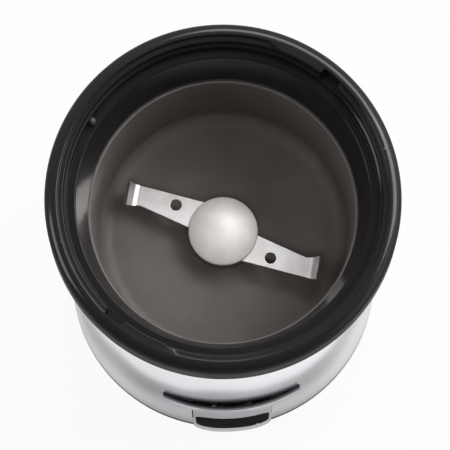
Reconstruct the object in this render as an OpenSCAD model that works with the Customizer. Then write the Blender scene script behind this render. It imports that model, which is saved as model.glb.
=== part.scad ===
// Electric spice grinder: the motor base with its grinding bowl, lid taken off.
// Millimetres, +Z up, front towards -Y, origin on the table under the bowl's axis.

/* [Body] */
// Height from the table to the top of the collar
body_h = 117; // [108:1:135]
// Outer radius of the collar
collar_r = 45; // [42:0.5:50]
// Height of the collar that shows above the shell
collar_h = 10; // [9.5:0.5:12]
// Rounding of the collar's outer top edge
collar_round = 2.4; // [1:0.2:2.6]
// How far the collar stands out over the top of the metal shell
overhang = 4.1; // [3.5:0.1:5]
// How much wider the metal shell is at its foot than at its top
shell_flare = 1.6; // [0.5:0.1:2.5]
// Thickness of the metal shell
shell_t = 0.7; // [0.5:0.1:0.8]
// How far the shell reaches up into the collar
shell_lap = 2.5; // [1.5:0.5:3]
// Height of the base cover's rim below the shell
base_rim_h = 3.5; // [3:0.5:5]
// Thickness of the base cover's floor
base_t = 2; // [1.6:0.2:2.6]
// Height of the feet below the base cover
foot_h = 1.5; // [1:0.25:2.5]
// Radius of a rubber foot
foot_r = 5; // [4:0.5:6]

/* [Lid seat] */
// Width of the collar's rim round the bore that takes the lid
rim_w = 4.7; // [4.4:0.1:5]
// Depth of the lid seat below the collar's top
seat_depth = 6.5; // [6:0.25:7]
// Width of the rebate round the top of the seat
rebate_w = 1.4; // [1:0.1:1.8]
// Depth of that rebate
rebate_h = 1.2; // [0.8:0.1:1.6]
// Angle that each stop in the rebate spans
tab_angle = 15; // [8:1:30]
// How much narrower the seat is below the lid's bore
step_w = 0.8; // [0.4:0.1:1]
// Height of that narrower part above the ledge
step_h = 3.2; // [3.2:0.1:3.6]
// Width of the ledge that the lid rests on
ledge_w = 3; // [2.8:0.1:3.5]
// Thickness of the collar's ledge
ledge_t = 1.5; // [1.2:0.1:2]
// Thickness of the collar's funnel
funnel_t = 1.6; // [1.2:0.1:1.8]
// Thickness of the collar's spigot inside the shell
spigot_t = 1.6; // [1.2:0.1:1.8]
// Width of an entry notch for the lid's lugs
notch_w = 5; // [3:0.5:8]
// Angle of the first entry notch
notch_angle = 45; // [35:1:55]
// Angle that the lid turns to lock
lock_angle = 80; // [60:5:95]
// How deep the lug tracks are cut into the seat wall
track_depth = 1.5; // [1:0.1:2]
// Height of the lug tracks
track_h = 2; // [1.5:0.1:2]
// Radius of the interlock pin
pin_r = 1; // [0.8:0.05:1]
// How far the interlock pin stands above the ledge
pin_up = 2.8; // [2.4:0.1:3]
// Travel of the interlock pin
pin_travel = 2.2; // [1.5:0.1:2.3]

/* [Grinding bowl] */
// Gap between the bowl and the inner frame
bowl_room = 0.5; // [0.3:0.1:1]
// Depth of the bowl's mouth below the collar's top
bowl_drop = 20; // [19:0.5:22]
// Slope of the bowl's wall in degrees
bowl_slope = 2.6; // [1:0.2:4]
// Radius between the bowl's wall and floor
bowl_fillet = 4; // [2:0.5:7]
// Thickness of the bowl
bowl_t = 1.3; // [1:0.1:1.4]
// Thickness of the bowl's flange
flange_t = 1.5; // [1.2:0.1:2]
// Thickness of the gasket on the flange
gasket_t = 1.2; // [0.8:0.1:1.6]
// Radius of the bowl's centre boss
boss_r = 8; // [7.5:0.25:8.5]
// Height of the centre boss above the bowl's floor
boss_h = 3.5; // [3:0.25:4]

/* [Blade] */
// Height of the blade's underside above the bowl's floor
blade_up = 5; // [4.8:0.1:6.5]
// Thickness of the blade
blade_t = 1.2; // [1:0.1:1.6]
// Distance from the axis to the line where a blade tip starts to bend
tip_at = 23.6; // [21:0.1:24.5]
// Skew of the tip's bend line in degrees
tip_skew = 14; // [5:0.5:30]
// Angle by which the trailing edge turns out near a tip
tip_flare = 24; // [0:1:30]
// Inner radius of the bend at a blade tip
bend_r = 2.4; // [1:0.2:2.6]
// Angle that the blade tips are bent up
bend_angle = 48; // [20:1:60]
// Length of the bent flap past the bend
flap_l = 1.4; // [0.6:0.1:2]
// Distance of the trailing edge from the arm's centre line
trail_w = 2.8; // [2.4:0.1:3.4]
// Distance of the leading edge from the arm's centre line at the tip
lead_tip_w = 2.4; // [2.2:0.1:3.2]
// Distance of the leading edge from the arm's centre line at the hub
lead_hub_w = 6.4; // [5:0.1:7]
// Distance of a blade hole from the axis
hole_at = 14.3; // [12:0.1:16]
// Radius of a blade hole
hole_r = 1.5; // [1:0.1:1.8]
// Direction of the blade's first arm at rest
blade_angle = 152; // [0:1:180]
// Radius of the blade's hub
hub_r = 7.6; // [7:0.1:8.5]
// Radius of the blade cap
cap_r = 9.15; // [8.8:0.05:10]
// Height of the blade cap
cap_h = 4.2; // [3.8:0.1:5]
// Height of the straight edge of the blade cap
cap_edge = 0.8; // [0.5:0.1:1.2]
// Radius of the splash disc under the blade
disc_r = 8.2; // [7.5:0.1:8.6]
// Thickness of the splash disc
disc_t = 0.9; // [0.7:0.1:1]

/* [Power button] */
// Height of the button's axis above the table
button_z = 25.5; // [25:0.25:26.5]
// Width of the button's lower part
button_w = 21.4; // [20:0.2:23]
// Chord of the button's brow, tip to tip
brow_w = 37; // [34:0.5:38]
// Height of the button's brow
brow_h = 6.5; // [5:0.5:8]
// Height of the whole button
button_h = 32.5; // [32:0.25:33.5]
// Corner radius of the button's lower edge
button_corner = 3; // [1:0.5:5]
// How far the brow of the button stands out of the shell
brow_out = 1.56; // [1.2:0.02:1.7]
// Distance from the body's axis to the axis of the button's curved face
face_off = 5; // [4.5:0.1:5.5]
// How much further out the face stands at its lower edge
face_lean = 1.3; // [0.6:0.1:1.4]
// Thickness of the button's face
face_t = 2.2; // [1.8:0.1:2.4]
// Thickness of the brow's lip, hollow behind
brow_t = 1; // [0.8:0.1:1.2]
// Travel of the button
button_travel = 2.2; // [1.5:0.1:2.3]
// Radius of the button's stem
stem_r = 4; // [3.5:0.1:4.2]
// Width of the window in the button
window_w = 19.6; // [16:0.2:19.8]
// Height of the window in the button
window_h = 15; // [12:0.5:17]
// Height of the window's lower edge above the button's lower edge
window_up = 5.5; // [4.5:0.25:6]
// Thickness of the window
window_t = 1; // [0.8:0.1:1.2]
// Wall of the pocket that guides the button
pocket_t = 1.4; // [1.2:0.1:1.6]

/* [Motor] */
// Turn of the motor about its shaft
motor_turn = 45; // [40:1:50]
// Radius of the shaft
shaft_r = 3; // [2.8:0.05:3.1]
// Radius of the threaded end that carries the blade
thread_r = 2.4; // [2.2:0.05:2.5]
// Outer radius of a bearing bush
bush_r = 6; // [5.5:0.1:6.4]
// Length of a bearing bush
bush_l = 6; // [5:0.5:6]
// Room for air and wires between the stator and the inner frame
motor_room = 5.8; // [5.6:0.1:7]
// How much less the stator measures across its flats, on each side
stator_flat_cut = 6.5; // [6:0.1:7]
// Thickness of the stator's yoke
yoke_t = 6.5; // [6:0.1:7]
// Height of the laminated core
core_h = 18; // [15:0.5:22]
// Radial depth of a stator pole with its shoe
pole_l = 7.4; // [7:0.1:8]
// Air gap between armature and stator
air_gap = 0.4; // [0.3:0.05:0.6]
// Radius of the motor's bolts
bolt_r = 1.5; // [1.2:0.1:1.6]
// Thickness of the motor's bracket plates
bracket_t = 2; // [1.6:0.2:2.2]
// Height of the upper bracket's legs
upper_leg = 5.5; // [5:0.25:7]
// Height of the lower bracket's legs
lower_leg = 13.5; // [12.5:0.25:15]
// Radius of the commutator
comm_r = 8; // [7.5:0.1:8.5]
// Gap between the base cover's floor and the cooling fan
fan_gap = 2.9; // [1.5:0.1:4]
// Radius of the cooling fan
fan_r = 24; // [20:0.5:25]
// Height of the fan's blades
fan_h = 5; // [4:0.25:5]
// Thickness of the cooling fan's plate
fan_plate = 1; // [0.8:0.1:1.6]
// Number of fan blades
fan_n = 11; // [7:1:15]
// Height of the rubber mounts under the deck
mount_h = 3; // [2.8:0.1:3.4]
// Number of armature slots
slots_n = 12; // [10:1:14]

/* [Inner frame] */
// Room between the inner frame and the shell, for the collar's spigot
frame_room = 2.5; // [2.4:0.1:3]
// Wall of the inner frame
frame_t = 1.9; // [1.6:0.1:1.9]
// Thickness of the deck that carries bowl and motor
deck_t = 2.2; // [2:0.1:2.4]
// Radius of a screw boss
boss_out_r = 3; // [2.6:0.1:3.2]
// Height of the cord gland above the table
gland_z = 14; // [13:0.5:16]
// Radius of the cord gland's bore
gland_bore_r = 3.2; // [2.8:0.1:3.6]
// Outer radius of the cord gland's neck
gland_neck_r = 5; // [4.8:0.1:5.6]
// Radius of the cord gland's flange
gland_flange_r = 7; // [6.4:0.2:7.6]
// How far the cord gland's flange stands outside the shell
gland_out = 2; // [1:0.2:2.2]

/* [Clearances] */
// Radial running clearance of the shaft in its bushes
run_gap = 0.03; // [0.01:0.01:0.08]
// Gap around pieces that seat on each other
fit_gap = 0.15; // [0.1:0.05:0.2]
// Gap around pieces that slide
slide_gap = 0.3; // [0.2:0.05:0.4]

/* [Hidden] */
$fn = 64;
tiny = 0.01;

// Radii that several pieces share, from the outside in
shell_top_r = collar_r - overhang;
shell_foot_r = shell_top_r + shell_flare;
seat_r = collar_r - rim_w;
funnel_top_r = seat_r - ledge_w;
frame_r = shell_top_r - shell_t - frame_room;
frame_in = frame_r - frame_t;
bowl_r = frame_in - bowl_room - bowl_t;
flange_r = frame_r - fit_gap;
funnel_low_r = bowl_r + 4 * fit_gap;
pin_at = frame_r + frame_room / 2;
base_screw_at = frame_in - boss_out_r + 0.2;
foot_at = base_screw_at;
stator_r = frame_in - motor_room;
stator_flat = stator_r - stator_flat_cut;
yoke_y = stator_flat - yoke_t;
yoke_x = stator_r - yoke_t - 1.5;
gap_r = yoke_x - pole_l;
bolt_at = (stator_flat + yoke_y) / 2;
beyond = 2 * collar_r;

// Heights that several pieces share, from the table up
base_z = foot_h;
floor_top = base_z + base_t;
shell_z0 = base_z + base_rim_h;
fan_z = floor_top + fan_gap;
lower_bush_z = fan_z + fan_h + fan_plate + 0.6;
lower_plate = lower_bush_z + bush_l - bracket_t;
core_z = lower_plate + bracket_t + lower_leg;
core_top = core_z + core_h;
upper_plate = core_top + upper_leg;
upper_bush_z = upper_plate - 0.8;
deck_z = upper_plate + bracket_t + mount_h;
deck_top = deck_z + deck_t;
bowl_floor = deck_top + bowl_t;
blade_z = bowl_floor + blade_up;

// Heights from the collar down
collar_z0 = body_h - collar_h;
shell_z1 = collar_z0 + shell_lap;
ledge_z = body_h - seat_depth;
bowl_top = body_h - bowl_drop;
collar_floor = bowl_top + gasket_t;
frame_top = bowl_top - flange_t;

// Heights of the button
button_low = button_z - button_h / 2;
button_top = button_z + button_h / 2;
face_r = shell_r_at(button_top) + brow_out - face_off;

// Outer radius of the tapering shell at a height
function shell_r_at(z) =
  shell_foot_r + (shell_top_r - shell_foot_r) * (z - shell_z0) / (shell_z1 - shell_z0);

// A tube or ring between two radii
module ring(r_out, r_in, h, z = 0) {
  translate([0, 0, z])
    difference() {
      cylinder(r = r_out, h = h);
      translate([0, 0, -tiny])
        cylinder(r = r_in, h = h + 2 * tiny);
    }
}

// A block centred on X and Y that stands at a height
module block(w, d, h, z) {
  translate([-w / 2, -d / 2, z])
    cube([w, d, h]);
}

// A flat shape with round corners, made of squares and circles
module rounded(w, h, r) {
  square([w - 2 * r, h], center = true);
  square([w, h - 2 * r], center = true);
  for (sx = [-1, 1], sy = [-1, 1])
    translate([sx * (w / 2 - r), sy * (h / 2 - r)])
      circle(r);
}

// Four copies, a quarter turn apart
module quarters(at, turn = 0) {
  for (a = [0 : 90 : 270])
    rotate(a + turn)
      translate([at, 0, 0])
        children();
}

// Two copies, half a turn apart
module pair() {
  for (a = [0, 180])
    rotate(a)
      children();
}

// Points of a coil spring about Z: closed end turns, open middle
function coil_path(r, h, turns, steps) =
  [for (i = [0 : turns * steps]) let (a = i * 360 / steps, t = i / (turns * steps))
    [r * cos(a), r * sin(a), h * t]];

// Unit tangent of a path at one of its points
function tangent(path, i) =
  let (last = len(path) - 1, a = path[max(i - 1, 0)], b = path[min(i + 1, last)])
    (b - a) / norm(b - a);

// A round wire swept along a path, as one closed solid
module wire(path, r, sides = 8, up = [0, 0, 1]) {
  n = len(path);
  points = [for (i = [0 : n - 1])
    let (
      t = tangent(path, i),
      side = cross(t, up) / norm(cross(t, up)),
      over = cross(side, t)
    )
      for (k = [0 : sides - 1])
        path[i] + r * (cos(k * 360 / sides) * side + sin(k * 360 / sides) * over)];
  walls = [for (i = [0 : n - 2], k = [0 : sides - 1])
    [i * sides + k, (i + 1) * sides + k,
      (i + 1) * sides + (k + 1) % sides, i * sides + (k + 1) % sides]];
  ends = [[for (k = [0 : sides - 1]) k], [for (k = [sides - 1 : -1 : 0]) (n - 1) * sides + k]];
  polyhedron(points, concat(walls, ends));
}

// ---------- Housing ----------

spigot_in = frame_r + fit_gap + tiny;
spigot_out = spigot_in + spigot_t;
step_ramp = 0.5;
stop_back = 0.1;
hook_z = bowl_top - 7;
hook_h = 2;
hook_in = 0.8;
hook_half = 6;
nose_half = 5;

// Section of the collar: rim, skirt over the shell, ledge, funnel and spigot
module collar_section() {
  difference() {
    translate([seat_r, shell_z1])
      square([collar_r - seat_r, body_h - shell_z1]);
    translate([collar_r - collar_round, body_h - collar_round])
      square([collar_round + 1, collar_round + 1]);
    // The stops stand back a little from the bore
    translate([seat_r - 1, body_h - rebate_h + stop_back])
      square([1 + stop_back, rebate_h]);
  }
  translate([collar_r - collar_round, body_h - collar_round])
    intersection() {
      circle(collar_round);
      translate([-tiny, -tiny])
        square([collar_round, collar_round] + [tiny, tiny]);
    }
  translate([shell_top_r + fit_gap, collar_z0])
    square([collar_r - shell_top_r - fit_gap, shell_lap + tiny]);
  translate([funnel_top_r, ledge_z - ledge_t])
    square([spigot_out - funnel_top_r, ledge_t]);
  translate([spigot_out - tiny, shell_z1])
    square([seat_r - spigot_out + 1, ledge_z - shell_z1]);
  // Narrower part of the seat, with a small ramp on top
  polygon([[seat_r - step_w, ledge_z - tiny], [seat_r + 1, ledge_z - tiny],
    [seat_r + 1, ledge_z + step_h], [seat_r, ledge_z + step_h],
    [seat_r - step_w, ledge_z + step_h - step_ramp]]);
  polygon([[funnel_low_r, collar_floor], [funnel_low_r + funnel_t, collar_floor],
    [funnel_top_r + funnel_t, ledge_z], [funnel_top_r, ledge_z]]);
  translate([funnel_low_r, collar_floor])
    square([spigot_out - funnel_low_r, ledge_t]);
  translate([spigot_in, hook_z])
    square([spigot_out - spigot_in, ledge_z - hook_z - ledge_t / 2]);
}

module collar() {
  notch_half = asin(notch_w / 2 / seat_r);
  color([0.04, 0.04, 0.045])
    difference() {
      union() {
        rotate_extrude()
          collar_section();
        // Noses of the four hooks that snap into the inner frame
        for (a = [0 : 90 : 270])
          rotate(a - nose_half)
            rotate_extrude(angle = 2 * nose_half)
              translate([spigot_in - hook_in, hook_z + 0.2])
                square([hook_in + spigot_t / 2, hook_h]);
      }
      // Wide gaps that leave the spigot's foot as four hooks
      for (a = [0 : 90 : 270])
        rotate(a + hook_half)
          rotate_extrude(angle = 90 - 2 * hook_half)
            translate([spigot_in - 1, hook_z - 1])
              square([spigot_t + 2, collar_floor - hook_z + 0.5]);
      // Rebate round the top of the seat, between two stops that the lid's rim turns up to
      pair()
        rotate(notch_angle + notch_half + tab_angle)
          rotate_extrude(angle = 180 - notch_half - tab_angle)
            translate([seat_r - 1, body_h - rebate_h])
              square([rebate_w + 1, rebate_h + 1]);
      // Entry notches and tracks for the lid's lugs
      pair()
        rotate(notch_angle) {
          translate([seat_r - 1.5, -notch_w / 2, ledge_z + 0.7])
            cube([track_depth + 1.6, notch_w, seat_depth]);
          rotate(-lock_angle - notch_half)
            rotate_extrude(angle = lock_angle + notch_half)
              translate([seat_r - 1.5, ledge_z + 1])
                square([track_depth + 1.5, track_h]);
        }
      interlock_place()
        cylinder(r = pin_r + slide_gap, h = body_h);
    }
}

// Place of the interlock pin, where a lug comes to rest
module interlock_place() {
  rotate(notch_angle + 180 - lock_angle)
    translate([pin_at, 0, 0])
      children();
}

// Filled half section of the bowl, grown by a wall thickness
module bowl_section(grow) {
  fillet = bowl_fillet + grow;
  low = bowl_floor - grow;
  mid_z = low + fillet;
  mid_r = bowl_r + grow - (bowl_top - mid_z) * tan(bowl_slope) - fillet / cos(bowl_slope);
  translate([mid_r, mid_z])
    intersection() {
      circle(fillet);
      translate([0, -fillet])
        square([fillet, fillet]);
    }
  polygon([[0, low], [mid_r, low], [mid_r, mid_z - tiny],
    [mid_r + fillet * cos(bowl_slope), mid_z - fillet * sin(bowl_slope)],
    [bowl_r + grow, bowl_top], [0, bowl_top]]);
}

key_w = 2.4;
key_angle = 233;

module grinding_bowl() {
  color([0.36, 0.33, 0.31])
    difference() {
      union() {
        rotate_extrude()
          difference() {
            union() {
              bowl_section(bowl_t);
              translate([bowl_r, bowl_top - flange_t])
                square([flange_r - bowl_r, flange_t]);
            }
            bowl_section(0);
          }
        translate([0, 0, bowl_floor - tiny])
          cylinder(r1 = boss_r + 1, r2 = boss_r, h = boss_h + tiny);
      }
      translate([0, 0, deck_top - 1])
        cylinder(r = shaft_r + 1, h = boss_h + bowl_t + 2);
      translate([0, 0, seal_z])
        cylinder(r = seal_r, h = boss_h + 1);
      rotate(key_angle)
        translate([bowl_r - 0.6, -key_w / 2, bowl_top - 0.8])
          cube([1.2, key_w, 1]);
    }
}

module bowl_gasket() {
  color([0.05, 0.05, 0.05])
    ring(flange_r - 0.3, bowl_r + 0.5, gasket_t, bowl_top);
}

// Outline of the button seen from the front, grown by a gap
module button_outline(grow) {
  low = button_low - grow;
  w = button_w + 2 * grow;
  top = button_top + grow;
  corner = button_corner + grow;
  brow_r = (pow(brow_w / 2, 2) + pow(brow_h, 2)) / (2 * brow_h);
  translate([-w / 2, low + corner])
    square([w, top - low - corner]);
  translate([-w / 2 + corner, low])
    square([w - 2 * corner, corner + tiny]);
  for (s = [-1, 1])
    translate([s * (w / 2 - corner), low + corner])
      circle(corner);
  intersection() {
    translate([0, button_top - brow_h + brow_r])
      circle(brow_r + grow);
    translate([-brow_w, button_low])
      square([2 * brow_w, top - button_low]);
  }
}

// The button's lower part, under its brow
module body_outline() {
  translate([0, button_low + (button_h - brow_h) / 2])
    rounded(button_w - 1, button_h - brow_h - 1, button_corner);
}

// A flat outline in X and Z pushed back from the front, between two depths
module from_front(y_near, y_far) {
  translate([0, y_far, 0])
    rotate([90, 0, 0])
      linear_extrude(y_far - y_near)
        children();
}

module gland_place() {
  translate([0, 0, gland_z])
    rotate([-90, 0, 0])
      children();
}

// Round on top with straight sides that run down
module gland_outline(r, down) {
  circle(r);
  translate([-r, 0])
    square([2 * r, down]);
}

module outer_shell() {
  color([0.8, 0.78, 0.82])
    difference() {
      translate([0, 0, shell_z0])
        cylinder(r1 = shell_foot_r, r2 = shell_top_r, h = shell_z1 - shell_z0);
      translate([0, 0, shell_z0 - tiny])
        cylinder(r1 = shell_foot_r - shell_t, r2 = shell_top_r - shell_t,
          h = shell_z1 - shell_z0 + 2 * tiny);
      from_front(-beyond, -frame_in + 8)
        button_outline(slide_gap);
      // Slot for the gland's neck, open at the foot so that the shell drops over it
      gland_place()
        linear_extrude(beyond)
          gland_outline(gland_neck_r + fit_gap, gland_z);
    }
}

spring_room = 4.4;
pocket_back = face_off + face_r - face_t - button_travel - spring_room;
pocket_grow = slide_gap + pocket_t;
cheek_t = 1.6;
slot_w = 7;
shelf_w = 16;
filter_w = 13;
filter_d = 6;
filter_h = 11;
filter_gap = 0.8;
filter_shelf_t = 1;
filter_z = gland_z + gland_neck_r + 0.4 + filter_shelf_t;
shelf_t = 2;
switch2_w = 13;
switch2_h = 10;
switch2_t = 4.6;
switch2_gap = 0.6;
plunger2_r = 1.2;
plunger2_in = 2.4;
plunger2_room = 5;
foot_t = 2;
foot_z = deck_z - 4;
switch2_top = foot_z - pin_travel - 0.4;
shelf_z = switch2_top - switch2_h - shelf_t;

module inner_frame() {
  color([0.1, 0.1, 0.1])
    difference() {
      union() {
        ring(frame_r, frame_in, frame_top - floor_top, floor_top);
        // Flange that centres the shell on the base
        ring(shell_r_at(shell_z0 + 2.5) - shell_t - fit_gap, frame_in, 2.5, shell_z0);
        // Deck under the bowl
        translate([0, 0, deck_z])
          cylinder(r = frame_in + 0.5, h = deck_t);
        // Bosses for the base screws, open to the wall
        intersection() {
          quarters(base_screw_at, 45)
            translate([0, 0, floor_top])
              cylinder(r = boss_out_r, h = 12);
          cylinder(r = frame_r - 0.5, h = body_h);
        }
        // Shelf for the lid switch
        intersection() {
          rotate(notch_angle + 180 - lock_angle)
            translate([frame_in - switch2_t - 0.3, -shelf_w / 2, shelf_z])
              cube([switch2_t + 1, shelf_w, shelf_t]);
          cylinder(r = frame_r - 0.5, h = body_h);
        }
        // Shelf for the noise filter, over the cord gland
        intersection() {
          translate([-filter_w / 2 - 1, frame_in - filter_gap - filter_d, filter_z - filter_shelf_t])
            cube([filter_w + 2, filter_d + 2, filter_shelf_t]);
          cylinder(r = frame_r - 0.5, h = body_h);
        }
      }
      // Window for the button's pocket
      from_front(-beyond, -frame_in + 10)
        button_outline(pocket_grow + fit_gap);
      // Windows for the collar's hooks
      for (a = [0 : 90 : 270])
        rotate(a - hook_half - 1)
          rotate_extrude(angle = 2 * hook_half + 2)
            translate([frame_r - hook_in - 0.3, hook_z - 0.3])
              square([hook_in + 1, hook_h + 0.6]);
      // Slot for the interlock pin's foot
      rotate(notch_angle + 180 - lock_angle)
        translate([frame_in - 1, -slot_w / 2 - slide_gap, foot_z - pin_travel - 1])
          cube([frame_t + 2, slot_w + 2 * slide_gap, foot_t + pin_travel + 1.5]);
      // Hole round the upper bearing, and mount screw holes
      translate([0, 0, deck_z - 1])
        cylinder(r = bush_r + 3.5, h = deck_t + 2);
      quarters(mount_at)
        translate([0, 0, deck_z - 1])
          cylinder(r = mount_screw_r + fit_gap, h = deck_t + 2);
      quarters(mount_at)
        translate([0, 0, deck_top - mount_head_h - fit_gap])
          cylinder(r1 = mount_screw_r + fit_gap, r2 = mount_head_r + fit_gap + tiny,
            h = mount_head_h + fit_gap + tiny);
      quarters(base_screw_at, 45)
        translate([0, 0, floor_top - 1])
          cylinder(r = base_screw_r, h = 11);
      gland_place()
        cylinder(r = gland_neck_r + fit_gap, h = beyond);
    }
}

base_chamfer = 0.7;
base_screw_r = 1.4;
base_head_r = 2.6;
vent_n = 20;

module base_cover() {
  color([0.06, 0.06, 0.06])
    difference() {
      union() {
        translate([0, 0, base_z])
          cylinder(r1 = shell_foot_r - base_chamfer, r2 = shell_foot_r, h = base_chamfer);
        translate([0, 0, base_z + base_chamfer])
          cylinder(r = shell_foot_r, h = base_rim_h - base_chamfer);
      }
      translate([0, 0, floor_top])
        cylinder(r = frame_r + fit_gap, h = base_rim_h);
      quarters(foot_at)
        translate([0, 0, base_z - tiny])
          cylinder(r = foot_r + fit_gap, h = 1);
      quarters(base_screw_at, 45)
        translate([0, 0, base_z - 1]) {
          cylinder(r = base_screw_r + fit_gap, h = base_t + 2);
          cylinder(r = base_head_r + fit_gap, h = 2);
        }
      // Air slots under the fan
      for (a = [0 : vent_n - 1])
        rotate(a * 360 / vent_n)
          translate([12, -0.9, base_z - 1])
            cube([11, 1.8, base_t + 2]);
    }
}

module rubber_feet() {
  color([0.08, 0.08, 0.08])
    quarters(foot_at)
      union() {
        cylinder(r1 = foot_r - 0.4, r2 = foot_r, h = 0.5);
        translate([0, 0, 0.5])
          cylinder(r = foot_r, h = foot_h + 0.45);
      }
}

module base_screws() {
  color([0.7, 0.7, 0.7])
    quarters(base_screw_at, 45)
      difference() {
        union() {
          translate([0, 0, base_z + 0.2])
            cylinder(r = base_head_r, h = 0.8);
          translate([0, 0, base_z + 0.5])
            cylinder(r = base_screw_r - 0.02, h = 9);
        }
        block(3.2, 0.7, 0.5, base_z);
        block(0.7, 3.2, 0.5, base_z);
      }
}

module cord_gland() {
  seat_y = shell_foot_r + 0.05;
  plate_y = shell_foot_r - shell_t - fit_gap;
  color([0.05, 0.05, 0.05])
    gland_place()
      difference() {
        union() {
          translate([0, 0, frame_in - 2])
            cylinder(r = gland_neck_r, h = seat_y + gland_out - frame_in + 2);
          // Plate that closes the shell's slot below the neck
          translate([0, 0, plate_y])
            linear_extrude(seat_y + gland_out / 2 - plate_y)
              gland_outline(gland_neck_r, gland_z - shell_z0);
          translate([0, 0, seat_y])
            cylinder(r1 = gland_flange_r, r2 = gland_flange_r - 0.8, h = gland_out);
        }
        cylinder(r = gland_bore_r, h = beyond);
      }
}

// ---------- Drive ----------

seal_r = 6;
seal_z = bowl_floor + boss_h - 3;

module shaft_seal() {
  color([0.3, 0.08, 0.05])
    ring(seal_r, shaft_r + run_gap + 0.02, 3, seal_z);
}

module bearing(z) {
  color([0.72, 0.52, 0.28])
    ring(bush_r, shaft_r + run_gap, bush_l, z);
}

module upper_bearing() {
  bearing(upper_bush_z);
}

module lower_bearing() {
  bearing(lower_bush_z);
}

mount_at = stator_r - 9;
plate_r = mount_at + 4;
mount_screw_r = 1.4;
mount_head_r = 2.8;
mount_head_h = 1.4;
leg_r = 3.2;

module upper_bracket() {
  color([0.62, 0.63, 0.65])
    difference() {
      union() {
        translate([0, 0, upper_plate])
          cylinder(r = plate_r, h = bracket_t);
        translate([0, 0, upper_bush_z])
          cylinder(r = bush_r + 1.8, h = bush_l - 0.3);
        rotate(motor_turn)
          for (s = [-1, 1])
            translate([0, s * bolt_at, core_top])
              cylinder(r = leg_r, h = upper_leg + tiny);
      }
      translate([0, 0, upper_bush_z - 1])
        cylinder(r = bush_r, h = bush_l + 2);
      rotate(motor_turn)
        for (s = [-1, 1])
          translate([0, s * bolt_at, core_top - 1])
            cylinder(r = bolt_r + fit_gap, h = upper_leg + bracket_t + 2);
      quarters(mount_at)
        translate([0, 0, upper_plate - 1])
          cylinder(r = mount_screw_r + 0.02, h = bracket_t + 2);
      quarters((bush_r + mount_at) / 2 + 0.5, motor_turn)
        translate([0, 0, upper_plate - 1])
          cylinder(r = 4, h = bracket_t + 2);
    }
}

arm_w = 11;
holder_in = comm_r + 2;
holder_out = stator_r - 4;
holder_h = 7.4;
holder_w = 8.2;
holder_t = 1;
brush_z = lower_plate + bracket_t + 1.6 + holder_h / 2;

module lower_bracket() {
  color([0.62, 0.63, 0.65])
    difference() {
      rotate(motor_turn)
        union() {
          block(arm_w, 2 * bolt_at + arm_w, bracket_t, lower_plate);
          block(2 * holder_out, arm_w, bracket_t, lower_plate);
          translate([0, 0, lower_bush_z])
            cylinder(r = bush_r + 1.8, h = bush_l);
          for (s = [-1, 1])
            translate([0, s * bolt_at, lower_plate])
              cylinder(r = leg_r, h = bracket_t + lower_leg);
          // Pads under the brush holders
          for (s = [-1, 1])
            translate([s * (holder_in + 8), 0, 0])
              block(10, holder_w, 1.6 + tiny, lower_plate + bracket_t - tiny);
        }
      translate([0, 0, lower_bush_z - 1])
        cylinder(r = bush_r, h = bush_l + 2);
      rotate(motor_turn)
        for (s = [-1, 1])
          translate([0, s * bolt_at, lower_plate - 1])
            cylinder(r = bolt_r + fit_gap, h = lower_leg + bracket_t + 2);
    }
}

shoe_t = 2.2;
neck_w = 15;

module stator_core() {
  color([0.42, 0.43, 0.45])
    translate([0, 0, core_z])
      rotate(motor_turn)
        linear_extrude(core_h)
          difference() {
            union() {
              difference() {
                intersection() {
                  circle(stator_r);
                  square([2 * stator_r, 2 * stator_flat], center = true);
                }
                square([2 * yoke_x, 2 * yoke_y], center = true);
              }
              for (s = [-1, 1])
                translate([s * (gap_r + yoke_x) / 2, 0])
                  square([yoke_x - gap_r + 1, neck_w], center = true);
              intersection() {
                circle(gap_r + shoe_t);
                for (s = [-1, 1])
                  translate([s * gap_r, 0])
                    square([gap_r * 1.1, 26], center = true);
              }
            }
            circle(gap_r);
            for (s = [-1, 1])
              translate([0, s * bolt_at])
                circle(bolt_r + fit_gap);
          }
}

coil_over = 4;

module stator_coils() {
  x_in = gap_r + shoe_t + 0.2;
  color([0.62, 0.3, 0.12])
    rotate(motor_turn)
      pair()
        translate([x_in, 0, core_z + core_h / 2])
          rotate([90, 0, 90])
            linear_extrude(yoke_x - x_in - 0.2)
              difference() {
                rounded(2 * yoke_y - 1.6, core_h + 2 * coil_over, 3);
                square([neck_w + 0.4, core_h + 0.4], center = true);
              }
}

module motor_bolts() {
  color([0.75, 0.75, 0.76])
    rotate(motor_turn)
      for (s = [-1, 1])
        translate([0, s * bolt_at, lower_plate]) {
          translate([0, 0, -2.2])
            cylinder(r = 2.8, h = 2.2, $fn = 6);
          translate([0, 0, -tiny])
            cylinder(r = bolt_r, h = upper_plate + bracket_t + 2.2 - lower_plate);
        }
}

module motor_nuts() {
  color([0.75, 0.75, 0.76])
    rotate(motor_turn)
      for (s = [-1, 1])
        translate([0, s * bolt_at, upper_plate + bracket_t])
          difference() {
            cylinder(r = 3, h = 2, $fn = 6);
            translate([0, 0, -1])
              cylinder(r = bolt_r + 0.02, h = 4);
          }
}

module motor_mounts() {
  color([0.1, 0.1, 0.1])
    quarters(mount_at)
      ring(4, mount_screw_r + fit_gap, mount_h, upper_plate + bracket_t);
}

module mount_screws() {
  length = deck_t + mount_h + bracket_t + 0.8;
  color([0.75, 0.75, 0.76])
    quarters(mount_at)
      difference() {
        union() {
          translate([0, 0, deck_top - length])
            cylinder(r = mount_screw_r, h = length - 0.1);
          translate([0, 0, deck_top - mount_head_h])
            cylinder(r1 = mount_screw_r, r2 = mount_head_r, h = mount_head_h - 0.05);
        }
        block(3, 0.6, 1, deck_top - 0.6);
        block(0.6, 3, 1, deck_top - 0.6);
      }
}

// The two brushes lie across the bolts, on either side of the commutator
module brush_sides() {
  translate([0, 0, brush_z])
    rotate(motor_turn)
      pair()
        children();
}

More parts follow.
